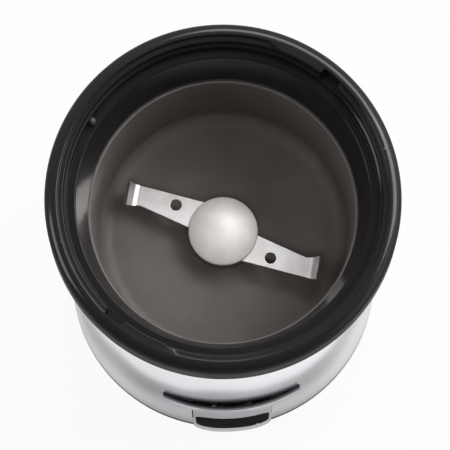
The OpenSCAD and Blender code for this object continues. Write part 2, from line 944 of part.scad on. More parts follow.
module brush_holders() {
  color([0.75, 0.58, 0.25])
    brush_sides()
      difference() {
        translate([holder_in, -holder_w / 2, -holder_h / 2])
          cube([holder_out - holder_in, holder_w, holder_h]);
        translate([holder_in - 1, -holder_w / 2 + holder_t, -holder_h / 2 + holder_t])
          cube([holder_out - holder_in, holder_w - 2 * holder_t, holder_h - 2 * holder_t]);
      }
}

brush_l = 9.5;

module carbon_brushes() {
  color([0.12, 0.12, 0.13])
    brush_sides()
      difference() {
        translate([comm_r - 0.6, -holder_w / 2 + holder_t + fit_gap,
            -holder_h / 2 + holder_t + fit_gap])
          cube([brush_l + 0.6, holder_w - 2 * holder_t - 2 * fit_gap,
            holder_h - 2 * holder_t - 2 * fit_gap]);
        translate([0, 0, -holder_h])
          cylinder(r = comm_r + 0.05, h = 2 * holder_h);
      }
}

brush_wire = 0.3;

module brush_springs() {
  start = comm_r + brush_l + brush_wire + 0.02;
  length = holder_out - 1 - start - brush_wire - 0.02;
  color([0.7, 0.7, 0.72])
    brush_sides()
      translate([start, 0, 0])
        rotate([0, 90, 0])
          wire(coil_path(1.9, length, 5, 12), brush_wire, 6);
}

armature_r = gap_r - air_gap;
slot_at = armature_r - 3.4;

module armature_core() {
  color([0.4, 0.41, 0.43])
    translate([0, 0, core_z])
      linear_extrude(core_h)
        difference() {
          circle(armature_r);
          circle(shaft_r + 0.02);
          for (i = [0 : slots_n - 1])
            rotate(i * 360 / slots_n) {
              translate([slot_at, 0])
                circle(1.9);
              translate([slot_at, -0.6])
                square([5, 1.2]);
            }
        }
}

end_turn = 3.2;

module armature_windings() {
  color([0.66, 0.32, 0.12])
    union() {
      for (z = [core_z - end_turn, core_top])
        ring(slot_at + 2, shaft_r + 1, end_turn, z);
      for (i = [0 : slots_n - 1])
        rotate(i * 360 / slots_n)
          translate([slot_at, 0, core_z - 1])
            cylinder(r = 1.7, h = core_h + 2);
    }
}

module commutator() {
  z0 = lower_plate + bracket_t + 0.8;
  z1 = core_z - end_turn - 0.4;
  color([0.78, 0.42, 0.22])
    translate([0, 0, z0])
      linear_extrude(z1 - z0)
        difference() {
          circle(comm_r);
          circle(shaft_r + 0.02);
          for (i = [0 : slots_n - 1])
            rotate((i + 0.5) * 360 / slots_n)
              translate([comm_r - 0.7, -0.25])
                square([1, 0.5]);
        }
}

module cooling_fan() {
  color([0.85, 0.83, 0.78])
    difference() {
      union() {
        translate([0, 0, fan_z])
          cylinder(r = 5.5, h = fan_h + fan_plate);
        translate([0, 0, fan_z + fan_h])
          cylinder(r = fan_r, h = fan_plate);
        for (i = [0 : fan_n - 1])
          rotate(i * 360 / fan_n)
            translate([fan_r * 0.42, 0, fan_z])
              rotate(25)
                translate([0, -0.6, 0])
                  cube([fan_r * 0.56, 1.2, fan_h + tiny]);
      }
      translate([0, 0, fan_z - 1])
        cylinder(r = shaft_r + 0.02, h = fan_h + fan_plate + 2);
    }
}

thread_top = blade_z + blade_t + cap_h - 1.4;

module drive_shaft() {
  color([0.7, 0.71, 0.73])
    union() {
      translate([0, 0, fan_z - 0.8])
        cylinder(r1 = shaft_r - 0.4, r2 = shaft_r, h = 0.4);
      translate([0, 0, fan_z - 0.4])
        cylinder(r = shaft_r, h = blade_z - fan_z + 0.4);
      translate([0, 0, blade_z - tiny])
        cylinder(r = thread_r, h = thread_top - blade_z);
    }
}

module splash_disc() {
  color([0.75, 0.74, 0.72])
    ring(disc_r, shaft_r + 0.02, disc_t, blade_z - disc_t);
}

// One arm of the blade in plan, with its hole, running out along +X
module blade_arm() {
  lead_slope = (lead_hub_w - lead_tip_w) / tip_at;
  reach = tip_at + 8;
  flare_at = tip_at - 0.8;
  difference() {
    polygon([[0, -lead_hub_w], [reach, -lead_hub_w + lead_slope * reach],
      [reach, trail_w + (reach - flare_at) * tan(tip_flare)], [flare_at, trail_w], [0, trail_w]]);
    translate([hole_at, -1.3])
      circle(hole_r);
  }
}

bend_steps = 8;

// Side view of the sheet that the blade is pressed from, both tips bent up
module blade_sheet() {
  flap = flap_l * [cos(bend_angle), sin(bend_angle)];
  function bend(r, i) =
    let (a = bend_angle * i / bend_steps)
      [tip_at + r * sin(a), blade_t + bend_r - r * cos(a)];
  upper = [for (i = [0 : bend_steps]) bend(bend_r, i)];
  lower = [for (i = [bend_steps : -1 : 0]) bend(bend_r + blade_t, i)];
  half = concat(upper, [upper[bend_steps] + flap, lower[0] + flap], lower);
  last = len(half) - 1;
  polygon(concat(half, [for (i = [last : -1 : 0]) [-half[i][0], half[i][1]]]));
}

module blade() {
  color([0.82, 0.81, 0.8])
    rotate(blade_angle)
      difference() {
        intersection() {
          translate([0, 0, blade_z - 10])
            linear_extrude(20) {
              circle(hub_r);
              pair()
                blade_arm();
            }
          translate([0, 0, blade_z])
            rotate([90, 0, tip_skew])
              translate([0, 0, -beyond])
                linear_extrude(2 * beyond)
                  blade_sheet();
        }
        translate([0, 0, blade_z - 1])
          cylinder(r = thread_r + 0.02, h = blade_t + 2);
      }
}

module blade_cap() {
  rise = cap_h - cap_edge;
  ball = (cap_r * cap_r + rise * rise) / (2 * rise);
  z0 = blade_z + blade_t;
  color([0.86, 0.84, 0.84])
    difference() {
      union() {
        translate([0, 0, z0])
          cylinder(r = cap_r, h = cap_edge);
        intersection() {
          translate([0, 0, z0 + cap_h - ball])
            sphere(ball);
          translate([0, 0, z0 + cap_edge - tiny])
            cylinder(r = cap_r, h = cap_h);
        }
      }
      translate([0, 0, z0 - 1])
        cylinder(r = thread_r + 0.02, h = thread_top - z0 + 1.2);
    }
}

// ---------- Power button ----------

// The curved slab that the button's face is cut from, between two depths
module face_slab(depth_out, depth_in) {
  lean = face_lean;
  translate([0, -face_off, button_low - 1])
    difference() {
      cylinder(r1 = face_r + lean - depth_out, r2 = face_r - depth_out, h = button_h + 2);
      translate([0, 0, -tiny])
        cylinder(r1 = face_r + lean - depth_in, r2 = face_r - depth_in,
          h = button_h + 2 + 2 * tiny);
    }
}

module window_outline(grow) {
  translate([0, button_low + window_up + window_h / 2])
    rounded(window_w + 2 * grow, window_h + 2 * grow, 2 + grow);
}

face_back = face_off + face_r - face_t;
flange_y = pocket_back - pocket_t - 0.1;
stem_end = flange_y - 1.2;

module power_button() {
  color([0.82, 0.8, 0.84])
    difference() {
      union() {
        intersection() {
          face_slab(0, brow_t);
          from_front(-beyond, 0)
            button_outline(0);
        }
        intersection() {
          face_slab(brow_t - tiny, face_t);
          from_front(-beyond, 0)
            body_outline();
        }
        // Stem with its retaining head behind the pocket
        translate([0, -stem_end, button_z])
          rotate([90, 0, 0])
            cylinder(r = stem_r, h = face_back + 0.9 - stem_end);
        translate([0, -stem_end, button_z])
          rotate([90, 0, 0])
            cylinder(r = stem_r + 1, h = flange_y - stem_end);
      }
      intersection() {
        face_slab(-1, window_t);
        from_front(-beyond, 0)
          window_outline(0.05);
      }
    }
}

module button_window() {
  color([0.02, 0.02, 0.025])
    intersection() {
      face_slab(0.02, window_t);
      from_front(-beyond, 0)
        window_outline(0);
    }
}

module button_pocket() {
  color([0.03, 0.03, 0.03])
    difference() {
      intersection() {
        from_front(-beyond, -pocket_back + pocket_t)
          button_outline(pocket_grow);
        translate([0, 0, shell_z0])
          cylinder(r1 = shell_foot_r - shell_t - fit_gap, r2 = shell_top_r - shell_t - fit_gap,
            h = shell_z1 - shell_z0);
      }
      from_front(-beyond, -pocket_back)
        button_outline(slide_gap);
      from_front(-beyond, -frame_in + 12)
        translate([0, button_z])
          circle(stem_r + slide_gap);
    }
  // Cheeks that hold the switch
  color([0.03, 0.03, 0.03])
    for (s = [-1, 1])
      translate([s * (switch_w / 2 + fit_gap + cheek_t / 2), 0, 0])
        translate([-cheek_t / 2, -pocket_back + pocket_t - tiny, switch_low + 0.5])
          cube([cheek_t, pocket_back - pocket_t - switch_y + switch_d * 0.7, switch_h - 1]);
}

spring_wire = 0.45;

module button_spring() {
  length = face_back - pocket_back - 2 * spring_wire - 0.2;
  color([0.7, 0.7, 0.72])
    translate([0, -pocket_back - spring_wire - 0.1, button_z])
      rotate([90, 0, 0])
        wire(coil_path(stem_r + 1.2, length, 3, 16), spring_wire, 6);
}

plunger_r = 2;
plunger_out = button_travel + 0.4;
switch_y = stem_end - 0.03 - plunger_out;
switch_d = 9.5;
switch_w = 14;
switch_low = lower_plate + bracket_t + 0.5;
switch_h = core_z - coil_over - 0.5 - switch_low;

module power_switch() {
  color([0.15, 0.15, 0.16])
    difference() {
      translate([-switch_w / 2, -switch_y, switch_low])
        cube([switch_w, switch_d, switch_h]);
      translate([0, -switch_y + 7, button_z])
        rotate([90, 0, 0])
          cylinder(r = plunger_r + 0.1, h = 20);
    }
}

module switch_plunger() {
  color([0.8, 0.15, 0.1])
    translate([0, -switch_y + 4, button_z])
      rotate([90, 0, 0])
        cylinder(r = plunger_r, h = plunger_out + 4);
}

// ---------- Lid interlock ----------

module interlock_pin() {
  color([0.05, 0.05, 0.05])
    interlock_place() {
      translate([0, 0, foot_z])
        cylinder(r = pin_r, h = ledge_z + pin_up - pin_r - foot_z);
      translate([0, 0, ledge_z + pin_up - pin_r])
        sphere(pin_r);
      translate([-(pin_at - frame_in + switch2_t - 1), -slot_w / 2, foot_z])
        cube([pin_at - frame_in + switch2_t - 1 + pin_r, slot_w, foot_t]);
    }
}

// Place of the lid switch against the frame's inner wall
module lid_switch_place() {
  rotate(notch_angle + 180 - lock_angle)
    translate([frame_in - switch2_gap - switch2_t / 2, 0, switch2_top])
      children();
}

module lid_switch() {
  color([0.15, 0.15, 0.16])
    lid_switch_place()
      difference() {
        block(switch2_t, switch2_w, switch2_h, -switch2_h);
        translate([0, 0, -plunger2_room])
          cylinder(r = plunger2_r + 0.1, h = plunger2_room + 1);
      }
}

module lid_switch_plunger() {
  color([0.8, 0.15, 0.1])
    lid_switch_place()
      translate([0, 0, -plunger2_in])
        cylinder(r = plunger2_r, h = foot_z - switch2_top + plunger2_in - 0.03);
}

// ---------- Wiring ----------

module noise_filter() {
  color([0.85, 0.7, 0.1])
    translate([-filter_w / 2, frame_in - filter_gap - filter_d, filter_z])
      cube([filter_w, filter_d, filter_h]);
}

lead_r = 0.9;
lead_at = stator_r + 0.5;

// Points of one lead: round the stator on the right, from the filter to the switch
function lead_path(rise) =
  let (
    start_z = filter_z + 3 + rise,
    end_z = switch_low + 2 + rise,
    back_y = -switch_y + switch_d
  )
    concat(
      [[filter_w / 2 + 0.3, frame_in - filter_gap - filter_d / 2, start_z]],
      [for (a = [65 : -10 : -45]) let (t = (65 - a) / 110)
        [lead_at * cos(a), lead_at * sin(a), start_z + (end_z - start_z) * t]],
      [[switch_w / 2 + 9, back_y - 2.5, end_z], [switch_w / 2 + 4.5, back_y + 0.2, end_z],
        [switch_w / 2, back_y + 1.6, end_z], [switch_w / 2 - 3.5, back_y + lead_r + 0.1, end_z]]
    );

module lead_wires() {
  color([0.1, 0.25, 0.6])
    for (rise = [0, 2.4])
      wire(lead_path(rise), lead_r);
}

collar();
grinding_bowl();
bowl_gasket();
outer_shell();
inner_frame();
base_cover();
rubber_feet();
base_screws();
cord_gland();
shaft_seal();
upper_bearing();
lower_bearing();
upper_bracket();
lower_bracket();
stator_core();
stator_coils();
motor_bolts();
motor_nuts();
motor_mounts();
mount_screws();
brush_holders();
carbon_brushes();
brush_springs();
power_switch();
button_pocket();
lid_switch();
noise_filter();
lead_wires();
blade();
blade_cap();
splash_disc();
drive_shaft();
armature_core();
armature_windings();
commutator();
cooling_fan();
power_button();
button_window();
button_spring();
switch_plunger();
interlock_pin();
lid_switch_plunger();
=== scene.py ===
import math

import bmesh
import bpy
from mathutils import Matrix, Vector


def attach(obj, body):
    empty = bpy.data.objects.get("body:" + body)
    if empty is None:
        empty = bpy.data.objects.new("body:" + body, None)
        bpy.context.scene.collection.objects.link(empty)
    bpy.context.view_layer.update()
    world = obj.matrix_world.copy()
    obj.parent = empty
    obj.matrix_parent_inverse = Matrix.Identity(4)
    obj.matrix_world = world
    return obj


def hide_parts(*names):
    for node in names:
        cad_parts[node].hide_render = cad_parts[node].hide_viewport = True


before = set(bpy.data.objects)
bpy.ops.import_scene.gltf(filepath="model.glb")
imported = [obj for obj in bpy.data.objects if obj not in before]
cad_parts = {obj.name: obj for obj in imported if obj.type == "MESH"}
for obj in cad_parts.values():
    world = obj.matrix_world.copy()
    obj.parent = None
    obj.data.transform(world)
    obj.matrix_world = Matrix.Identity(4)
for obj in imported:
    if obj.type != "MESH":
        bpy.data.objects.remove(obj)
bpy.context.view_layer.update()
mm = 0.001

# ---------------------------------------------------------------- camera
# Looks steeply down into the open grinder, a little from the left of its button,
# with a long lens, so that the body narrows only slightly towards the table.
turn, tilt = math.radians(-3.4), math.radians(78.83)
aim_right, aim_up, distance = 0.51, 79.6, 0.931
aim = Vector((aim_right * math.cos(turn), aim_right * math.sin(turn), aim_up)) * mm
back = Vector((math.cos(tilt) * math.sin(turn), -math.cos(tilt) * math.cos(turn),
               math.sin(tilt)))
lens = bpy.data.cameras.new("camera")
lens.lens, lens.sensor_width = 285, 36
lens.clip_start, lens.clip_end = 0.05, 20
camera = bpy.data.objects.new("camera", lens)
camera.location = aim + distance * back
camera.rotation_euler = (-back).to_track_quat("-Z", "Y").to_euler()
bpy.context.collection.objects.link(camera)
bpy.context.scene.camera = camera
bpy.context.scene.view_settings.view_transform = "Standard"


# ---------------------------------------------------------------- floor and light
# A pale studio table under soft boxes behind, above and on both sides. It reads white to
# the eye; in the polished metal it shows a painted reflection: painted shadow round the
# grinder's foot, a painted grey ring where that shadow ends, and painted light beyond.
class Shade:
    """A socket of a material that takes part in plain maths with numbers and other sockets."""

    def __init__(self, tree, socket=None):
        self.tree, self.socket = tree, socket

    def node(self, kind, settings, plugs, output=0):
        """Adds a node with its settings, and with values or links on its plugs."""
        made = self.tree.nodes.new("ShaderNode" + kind)
        for name, value in settings.items():
            setattr(made, name, value)
        for name, value in plugs.items():
            if isinstance(value, Shade):
                self.tree.links.new(value.socket, made.inputs[name])
            else:
                made.inputs[name].default_value = value
        return Shade(self.tree, made.outputs[output])

    def maths(self, operation, first, second=0.0):
        return self.node("Math", {"operation": operation}, {0: first, 1: second})

    def __add__(self, other):
        return self.maths("ADD", self, other)

    def __sub__(self, other):
        return self.maths("SUBTRACT", self, other)

    def __mul__(self, other):
        return self.maths("MULTIPLY", self, other)

    def __rsub__(self, other):
        return self.maths("SUBTRACT", other, self)

    __radd__, __rmul__ = __add__, __mul__

    def step(self, low, high):
        """Rises smoothly from 0 to 1 as the value goes from low to high."""
        return self.node("MapRange", {"interpolation_type": "SMOOTHSTEP"},
                         {"Value": self, "From Min": low, "From Max": high})

    def place(self, axis, source="Object"):
        """Place along X, Y or Z, in metres on an object and as a direction in the world."""
        spot = self.node("TexCoord", {}, {}, source)
        return self.node("SeparateXYZ", {}, {0: spot}, axis)

    def from_axis(self, ahead=0.0):
        """Distance from an upright axis that stands so far in front of the origin, in metres."""
        x, y = self.place("X"), self.place("Y") + ahead
        return self.maths("SQRT", x * x + y * y)

    def noise(self, size, detail=3.0, stretch=(1, 1, 1), seed=0.0):
        """Soft noise about `size` metres across, drawn out along an axis by a stretch above 1."""
        spot = self.node("TexCoord", {}, {}, "Object")
        spot = self.node("Mapping", {}, {"Vector": spot, "Location": (seed, seed, seed),
                                         "Scale": [1 / size / s for s in stretch]})
        return self.node("TexNoise", {}, {"Vector": spot, "Scale": 1.0, "Detail": detail})

    def blend(self, first, second):
        """Goes from one colour to another as this value goes from 0 to 1."""
        plugs = {0: self}
        for name, colour in ((6, first), (7, second)):
            plugs[name] = colour if isinstance(colour, Shade) else (*colour, 1)
        return self.node("Mix", {"data_type": "RGBA"}, plugs, 2)


def new_finish(name, **constants):
    """A material, its main shader and a Shade to build on. Constants go to the shader's plugs."""
    material = bpy.data.materials.new(name)
    material.use_nodes = True
    tree = material.node_tree
    shader = tree.nodes["Principled BSDF"]
    for plug, value in constants.items():
        shader.inputs[plug.replace("_", " ")].default_value = value
    return material, shader, Shade(tree)


def feed(shader, plug, shade):
    shade.tree.links.new(shade.socket, shader.inputs[plug])


def bump(shader, height, distance):
    """Raises the surface by up to `distance` metres where the height is 1."""
    normal = height.node("Bump", {}, {"Height": height, "Distance": distance, "Strength": 1.0})
    feed(shader, "Normal", normal)


table_paint_and_painted_sheen, table_shader, shade = new_finish("table_paint_and_painted_sheen", Base_Color=(0.42, 0.42, 0.42, 1),
                                              Roughness=0.8)
path = shade.node("LightPath", {}, {}, "Is Camera Ray")
mirrored = shade.node("LightPath", {}, {}, "Is Glossy Ray")
through = shade.node("LightPath", {}, {}, "Is Transmission Ray")
across, along = shade.place("X"), shade.place("Y")
# The polished shell mirrors only the first centimetres of table round its foot. Shade and light
# are painted on that table for mirrors alone: from the foot out come painted shadow close at the
# foot, painted soft shadow that is deeper in front, its painted dark edge with a wandering line,
# painted light on the open table, and painted shade further out.
far = shade.maths("SQRT", across * across * 1.1 + along * along)
wander = 0.007
reach = far + shade.noise(0.04, 1.0, seed=4.0) * wander - wander / 2
# Painted shade: the near table is darker in front of the grinder
front = (along * -1).step(0.026, 0.042)
# Painted shadow close round the foot
painted_contact_shadow = far.step(0.0425, 0.0455)
# Painted light on the open table, and a painted grey shadow edge just inside it
painted_open_light = reach.step(0.0523, 0.0531)
painted_shadow_edge = reach.step(0.0463, 0.0500) * (1 - painted_open_light)
# Painted reflection of the table: painted soft shadow near the foot, painted light further out
painted_sheen = 0.88 - front * 0.20 + painted_open_light * (0.46 + front * 0.20) - painted_shadow_edge * 0.36
# Painted shade further out, and the painted shadow close at the foot
painted_sheen = (painted_sheen - far.step(0.065, 0.20) * 0.95) * (0.25 + painted_contact_shadow * 0.75)
# Plain white for the eye; for other rays this carries the painted shade and light
backdrop_and_painted_light = shade.node("Emission", {}, {"Color": (1, 1, 1, 1), "Strength": painted_sheen + path * (1 - painted_sheen)})
# The eye sees nearly plain white, mirrors see the painted shade and light, and the paint under it
# keeps its real shadows
seen = path * 0.93 + mirrored * 0.6 + through * 0.15
plain = Shade(shade.tree, table_shader.outputs[0])
mixed = shade.node("MixShader", {}, {0: seen, 1: plain, 2: backdrop_and_painted_light})
shade.tree.links.new(mixed.socket, shade.tree.nodes["Material Output"].inputs["Surface"])

# A hair lower than the feet stand, so that the faces don't fight
table_r, table_drop = 4, 0.02 * mm
bm = bmesh.new()
bmesh.ops.create_circle(bm, cap_ends=True, segments=96, radius=table_r)
mesh = bpy.data.meshes.new("table")
bm.to_mesh(mesh)
bm.free()
table = bpy.data.objects.new("table", mesh)
table.data.materials.append(table_paint_and_painted_sheen)
table.location.z = -table_drop
bpy.context.collection.objects.link(table)

world = bpy.data.worlds.new("studio")
bpy.context.scene.world = world
world.use_nodes = True
air = world.node_tree.nodes["Background"]
shade = Shade(world.node_tree)
# The room is dim in front, paler behind and bright on the right
far_back = shade.place("Y", "Generated").step(-0.25, 0.75)
right = shade.place("X", "Generated").step(0.45, 0.95)
sky = right.blend(far_back.blend((0.22, 0.22, 0.23), (0.72, 0.72, 0.76)), (1.5, 1.5, 1.55))
shade.tree.links.new(sky.socket, air.inputs["Color"])
air.inputs["Strength"].default_value = 1.0

grinder_middle = Vector((0, 0, 0.08))
for name, place, width, depth, power in (
    ("box_back", (0.35, 0.75, 1.0), 0.9, 0.5, 11.0),
    ("box_top", (0.0, -0.45, 1.4), 0.7, 0.4, 6.0),
    ("box_right", (0.75, 0.25, 0.95), 0.6, 0.7, 11.0),
    ("box_left", (-0.95, -0.05, 0.70), 0.45, 0.6, 5.0),
):
    light = bpy.data.lights.new(name, "AREA")
    light.shape, light.size, light.size_y, light.energy = "RECTANGLE", width, depth, power
    box = bpy.data.objects.new(name, light)
    box.location = place
    # The top box lights the bowl, but would show as a patch in the metal
    box.visible_glossy = name != "box_top"
    box.rotation_euler = (grinder_middle - Vector(place)).to_track_quat("-Z", "Y").to_euler()
    bpy.context.collection.objects.link(box)


# ---------------------------------------------------------------- collar
# Glossy black ring moulded in one piece. Its stepped inner wall takes the lid, whose two
# lugs enter by the notches and run along the tracks; a skirt laps over the metal shell.
def lathe(corners, steps=256):
    """Turns a closed profile about Z. A corner is (radius, height, rounding) in millimetres."""
    bm = bmesh.new()
    corner_verts = [bm.verts.new((r * mm, 0, z * mm)) for r, z, _ in corners]
    for i, vert in enumerate(corner_verts):
        bm.edges.new((corner_verts[i - 1], vert))
    for vert, (_, _, rounding) in zip(corner_verts, corners):
        if rounding:
            bmesh.ops.bevel(bm, geom=[vert], offset=rounding * mm, offset_type="OFFSET",
                            affect="VERTICES", segments=7 if rounding > 1 else 4,
                            profile=0.5, material=-1)
    bmesh.ops.spin(bm, geom=bm.verts[:] + bm.edges[:], cent=(0, 0, 0), axis=(0, 0, 1),
                   angle=math.tau, steps=steps, use_merge=True)
    bmesh.ops.remove_doubles(bm, verts=bm.verts[:], dist=1e-6)
    flat = [f for f in bm.faces if f.calc_area() < 1e-14]
    bmesh.ops.delete(bm, geom=flat, context="FACES_ONLY")
    bmesh.ops.recalc_face_normals(bm, faces=bm.faces[:])
    return bm


def settle(name, bm, material, body, sharp=35, weigh=True):
    """Makes a piece of a mesh, in place of the CAD node of its name. Its sharp corners stay."""
    mesh = bpy.data.meshes.new(name)
    bm.to_mesh(mesh)
    bm.free()
    mesh.shade_smooth()
    mesh.set_sharp_from_angle(angle=math.radians(sharp))
    mesh.materials.append(material)
    piece = bpy.data.objects.new(name, mesh)
    bpy.context.collection.objects.link(piece)
    if weigh:
        piece.modifiers.new("even", "WEIGHTED_NORMAL").keep_sharp = True
    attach(piece, body)
    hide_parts(name)
    return piece


def around(vert):
    """Radius in millimetres, angle in degrees from +X, height in millimetres of a vertex."""
    x, y, z = vert.co / mm
    return math.hypot(x, y), math.degrees(math.atan2(y, x)) % 360, z


def move_out(vert, radius):
    """Moves a vertex straight out from the axis to a radius in millimetres."""
    scale = radius * mm / math.hypot(vert.co.x, vert.co.y)
    vert.co.x, vert.co.y = vert.co.x * scale, vert.co.y * scale


# Radii, and heights above the table, in millimetres
collar_r, collar_top, collar_foot = 45, 117, 107
skirt_r, shell_top, frame_r = 41.05, 109.5, 39.46
throat_r, gasket_top = 34.6, 98.2
ledge_in, ledge_r, ledge_z = 37.3, 39.5, 110.5
track_low, track_top, track_r = 111.5, 113.2, 41.8
seat_r, seat_low = 40.3, 113.7
rebate_r, rebate_low = 41.7, 115.8
collar = lathe((
    (rebate_r, collar_top, 0.35), (collar_r, collar_top, 2.6), (collar_r, collar_foot, 0.4),
    (skirt_r, collar_foot, 0.2), (skirt_r, shell_top, 0), (frame_r, shell_top, 0),
    (frame_r, gasket_top, 0), (throat_r, gasket_top, 0.3), (ledge_in, ledge_z, 0.35),
    (ledge_r, ledge_z, 0.15), (ledge_r, track_low - 0.05, 0), (ledge_r, track_low, 0),
    (ledge_r, track_top, 0.15), (seat_r, seat_low, 0.15), (seat_r, rebate_low, 0.3),
    (rebate_r, rebate_low, 0.2)), steps=720)
notch_angle, notch_half, notch_r, notch_rim_r = 45, 3.55, 41.9, 42.1
stop_end, stop_fade, stop_lift = 26, 6, 0.6
lock_angle = 80
track_from = 180 - lock_angle - notch_half
hair = 0.02
for vert in collar.verts:
    radius, angle, height = around(vert)
    past = (angle - notch_angle) % 180
    in_track = height > track_low - hair
    at_rim = height > collar_top - 0.5
    if radius < rebate_r + 0.15 and height > rebate_low - 0.5 and notch_half < past < stop_end:
        # The stop that stands in the rebate beside each notch
        filled = min(1.0, (stop_end - past) / stop_fade)
        if at_rim or radius > seat_r + 0.3:
            move_out(vert, radius - (rebate_r - seat_r) * filled)
            vert.co.z += 0 if at_rim else stop_lift * mm * filled
    elif radius < notch_r and in_track and min(past, 180 - past) < notch_half:
        move_out(vert, max(radius, notch_rim_r if at_rim else notch_r))
    elif radius < ledge_r + 0.1 and in_track and height < track_top + 0.1 and past > track_from:
        move_out(vert, track_r)
# Two raised moulding marks across the rim, where the locked lid points
mark_angle, mark_half, mark_in, mark_out, mark_lift = 13, 0.4, 42, 43.6, 0.12
for vert in collar.verts:
    radius, angle, height = around(vert)
    past = (angle - mark_angle) % 180
    on_rim = height > collar_top - 0.1 and mark_in < radius < mark_out
    if on_rim and min(past, 180 - past) < mark_half:
        vert.co.z += mark_lift * mm

gloss, gloss_shader, shade = new_finish(
    "black_gloss", Base_Color=(0.006, 0.0055, 0.006, 1), Specular_IOR_Level=0.05,
    Coat_IOR=1.42, Coat_Roughness=0.14)
cloud = shade.noise(0.012, 4.0)
fine = shade.noise(0.0006, 2.0, seed=3.1)
radius = shade.from_axis()
# The skirt's wall and the bore are duller than the rim between them
side = radius.step(0.0434, 0.0446) * (1 - shade.place("Z").step(0.1145, 0.1165))
bore = 1 - radius.step(0.0402, 0.0416)
feed(gloss_shader, "Coat Weight", (1 - side * 0.9) * (1 - bore * 0.45) * (0.56 + cloud * 0.1))
feed(gloss_shader, "Roughness", cloud.step(0.3, 0.75) * 0.12 + side * 0.2 + 0.36)
bump(gloss_shader, cloud * 0.6 + fine * (0.08 + side * 0.6), 0.00003)
settle("collar", collar, gloss, "housing")


# ---------------------------------------------------------------- bowl gasket
# Thin black rubber ring, cut from sheet. It is squeezed between the bowl's flange and the
# collar, with a hair of room on both sides so that the faces don't fight.
def mottle(shader, cloud, dark, pale, low=0.3, high=0.7):
    """Lets the colour drift between two near tones in soft clouds."""
    feed(shader, "Base Color", cloud.step(low, high).blend(dark, pale))


rubber, rubber_shader, shade = new_finish("black_rubber")
grain = shade.noise(0.0004, 3.0)
wear = shade.noise(0.006, 3.0, seed=5.0)
mottle(rubber_shader, wear, (0.018, 0.018, 0.018), (0.035, 0.034, 0.033), 0.35, 0.75)
feed(rubber_shader, "Roughness", wear * 0.25 + 0.5)
bump(rubber_shader, grain, 0.00002)
gasket_in, gasket_out = 34.5, 37.25
flange_top = 97
gasket_low, gasket_high = flange_top + hair, gasket_top - hair
gasket = lathe((
    (gasket_in, gasket_low, 0.25), (gasket_out, gasket_low, 0.1),
    (gasket_out, gasket_high, 0.1), (gasket_in, gasket_high, 0.25)))
settle("bowl_gasket", gasket, rubber, "housing")

# ---------------------------------------------------------------- grinding bowl
# Matt warm-grey moulded cup with a soft fillet at its floor and a low boss round the
# shaft. A small key slot in its lip sets it in place under the gasket.
bowl_r, bowl_floor, bowl_foot_r = 34.0, 64.5, 32.73
mid_r, mid_z = 33.6, 85
flange_r, flange_low, neck_r = 37.55, 95.5, 35.3
under_r, under_z = 34.0, 63.2
shaft_hole, seal_hole, seal_z = 4.0, 6.0, 65
boss_r, boss_top, boss_foot_r = 8.0, 68, 9.0
bowl = lathe((
    (bowl_foot_r, bowl_floor, 3.9), (mid_r, mid_z, 0), (bowl_r, flange_top, 0.35),
    (flange_r, flange_top, 0.2), (flange_r, flange_low, 0.1), (neck_r, flange_low, 0),
    (under_r, under_z, 4.9), (shaft_hole, under_z, 0), (shaft_hole, seal_z, 0),
    (seal_hole, seal_z, 0), (seal_hole, boss_top, 0.1), (boss_r, boss_top, 0.35),
    (boss_foot_r, bowl_floor, 0.5)))
key_angle, key_half, key_r, key_depth = 233, 2.2, 34.75, 0.8
for vert in bowl.verts:
    radius, angle, height = around(vert)
    at_lip = radius < key_r - 0.05 and height > flange_top - key_depth
    if at_lip and abs(angle - key_angle) < key_half:
        move_out(vert, key_r)
        vert.co.z -= key_depth * mm

grey, grey_shader, shade = new_finish("bowl_grey", Specular_IOR_Level=0.2)
grain = shade.noise(0.00035, 2.0)
cloud = shade.noise(0.009, 4.0, seed=2.0)
swirl = shade.noise(0.0025, 3.0, (4, 4, 0.5), seed=7.0)
mottle(grey_shader, cloud * 0.7 + swirl * 0.3, (0.092, 0.080, 0.074), (0.110, 0.097, 0.091), 0.35)
feed(grey_shader, "Roughness", cloud.step(0.3, 0.7) * 0.12 + grain * 0.1 + 0.44)
bump(grey_shader, grain * 0.7 + swirl * 0.3, 0.00003)
settle("grinding_bowl", bowl, grey, "housing")


# ---------------------------------------------------------------- blade
# Satin stainless sheet, pressed in one stroke: two tapering arms, each with a round hole and
# a tip turned up along a slanting line. The cap clamps its hub on the shaft.
def plate(outlines, thickness):
    """A flat plate that stands on Z = 0. The first closed outline is its edge, others are holes."""
    bm = bmesh.new()
    rings = []
    for outline in outlines:
        ring = [bm.verts.new((x * mm, y * mm, 0)) for x, y in outline]
        rings.append([bm.edges.new((ring[i - 1], v)) for i, v in enumerate(ring)])
    bmesh.ops.triangle_fill(bm, edges=[e for ring in rings for e in ring], use_beauty=True)
    grown = bmesh.ops.extrude_face_region(bm, geom=bm.faces[:])["geom"]
    bmesh.ops.translate(bm, vec=(0, 0, thickness * mm),
                        verts=[g for g in grown if isinstance(g, bmesh.types.BMVert)])
    bmesh.ops.recalc_face_normals(bm, faces=bm.faces[:])
    return bm


def arc(x, y, radius, start, end, count):
    """Points on a circle from one angle to another, in degrees, with both ends."""
    angles = [math.radians(start + (end - start) * i / count) for i in range(count + 1)]
    return [(x + radius * math.cos(a), y + radius * math.sin(a)) for a in angles]


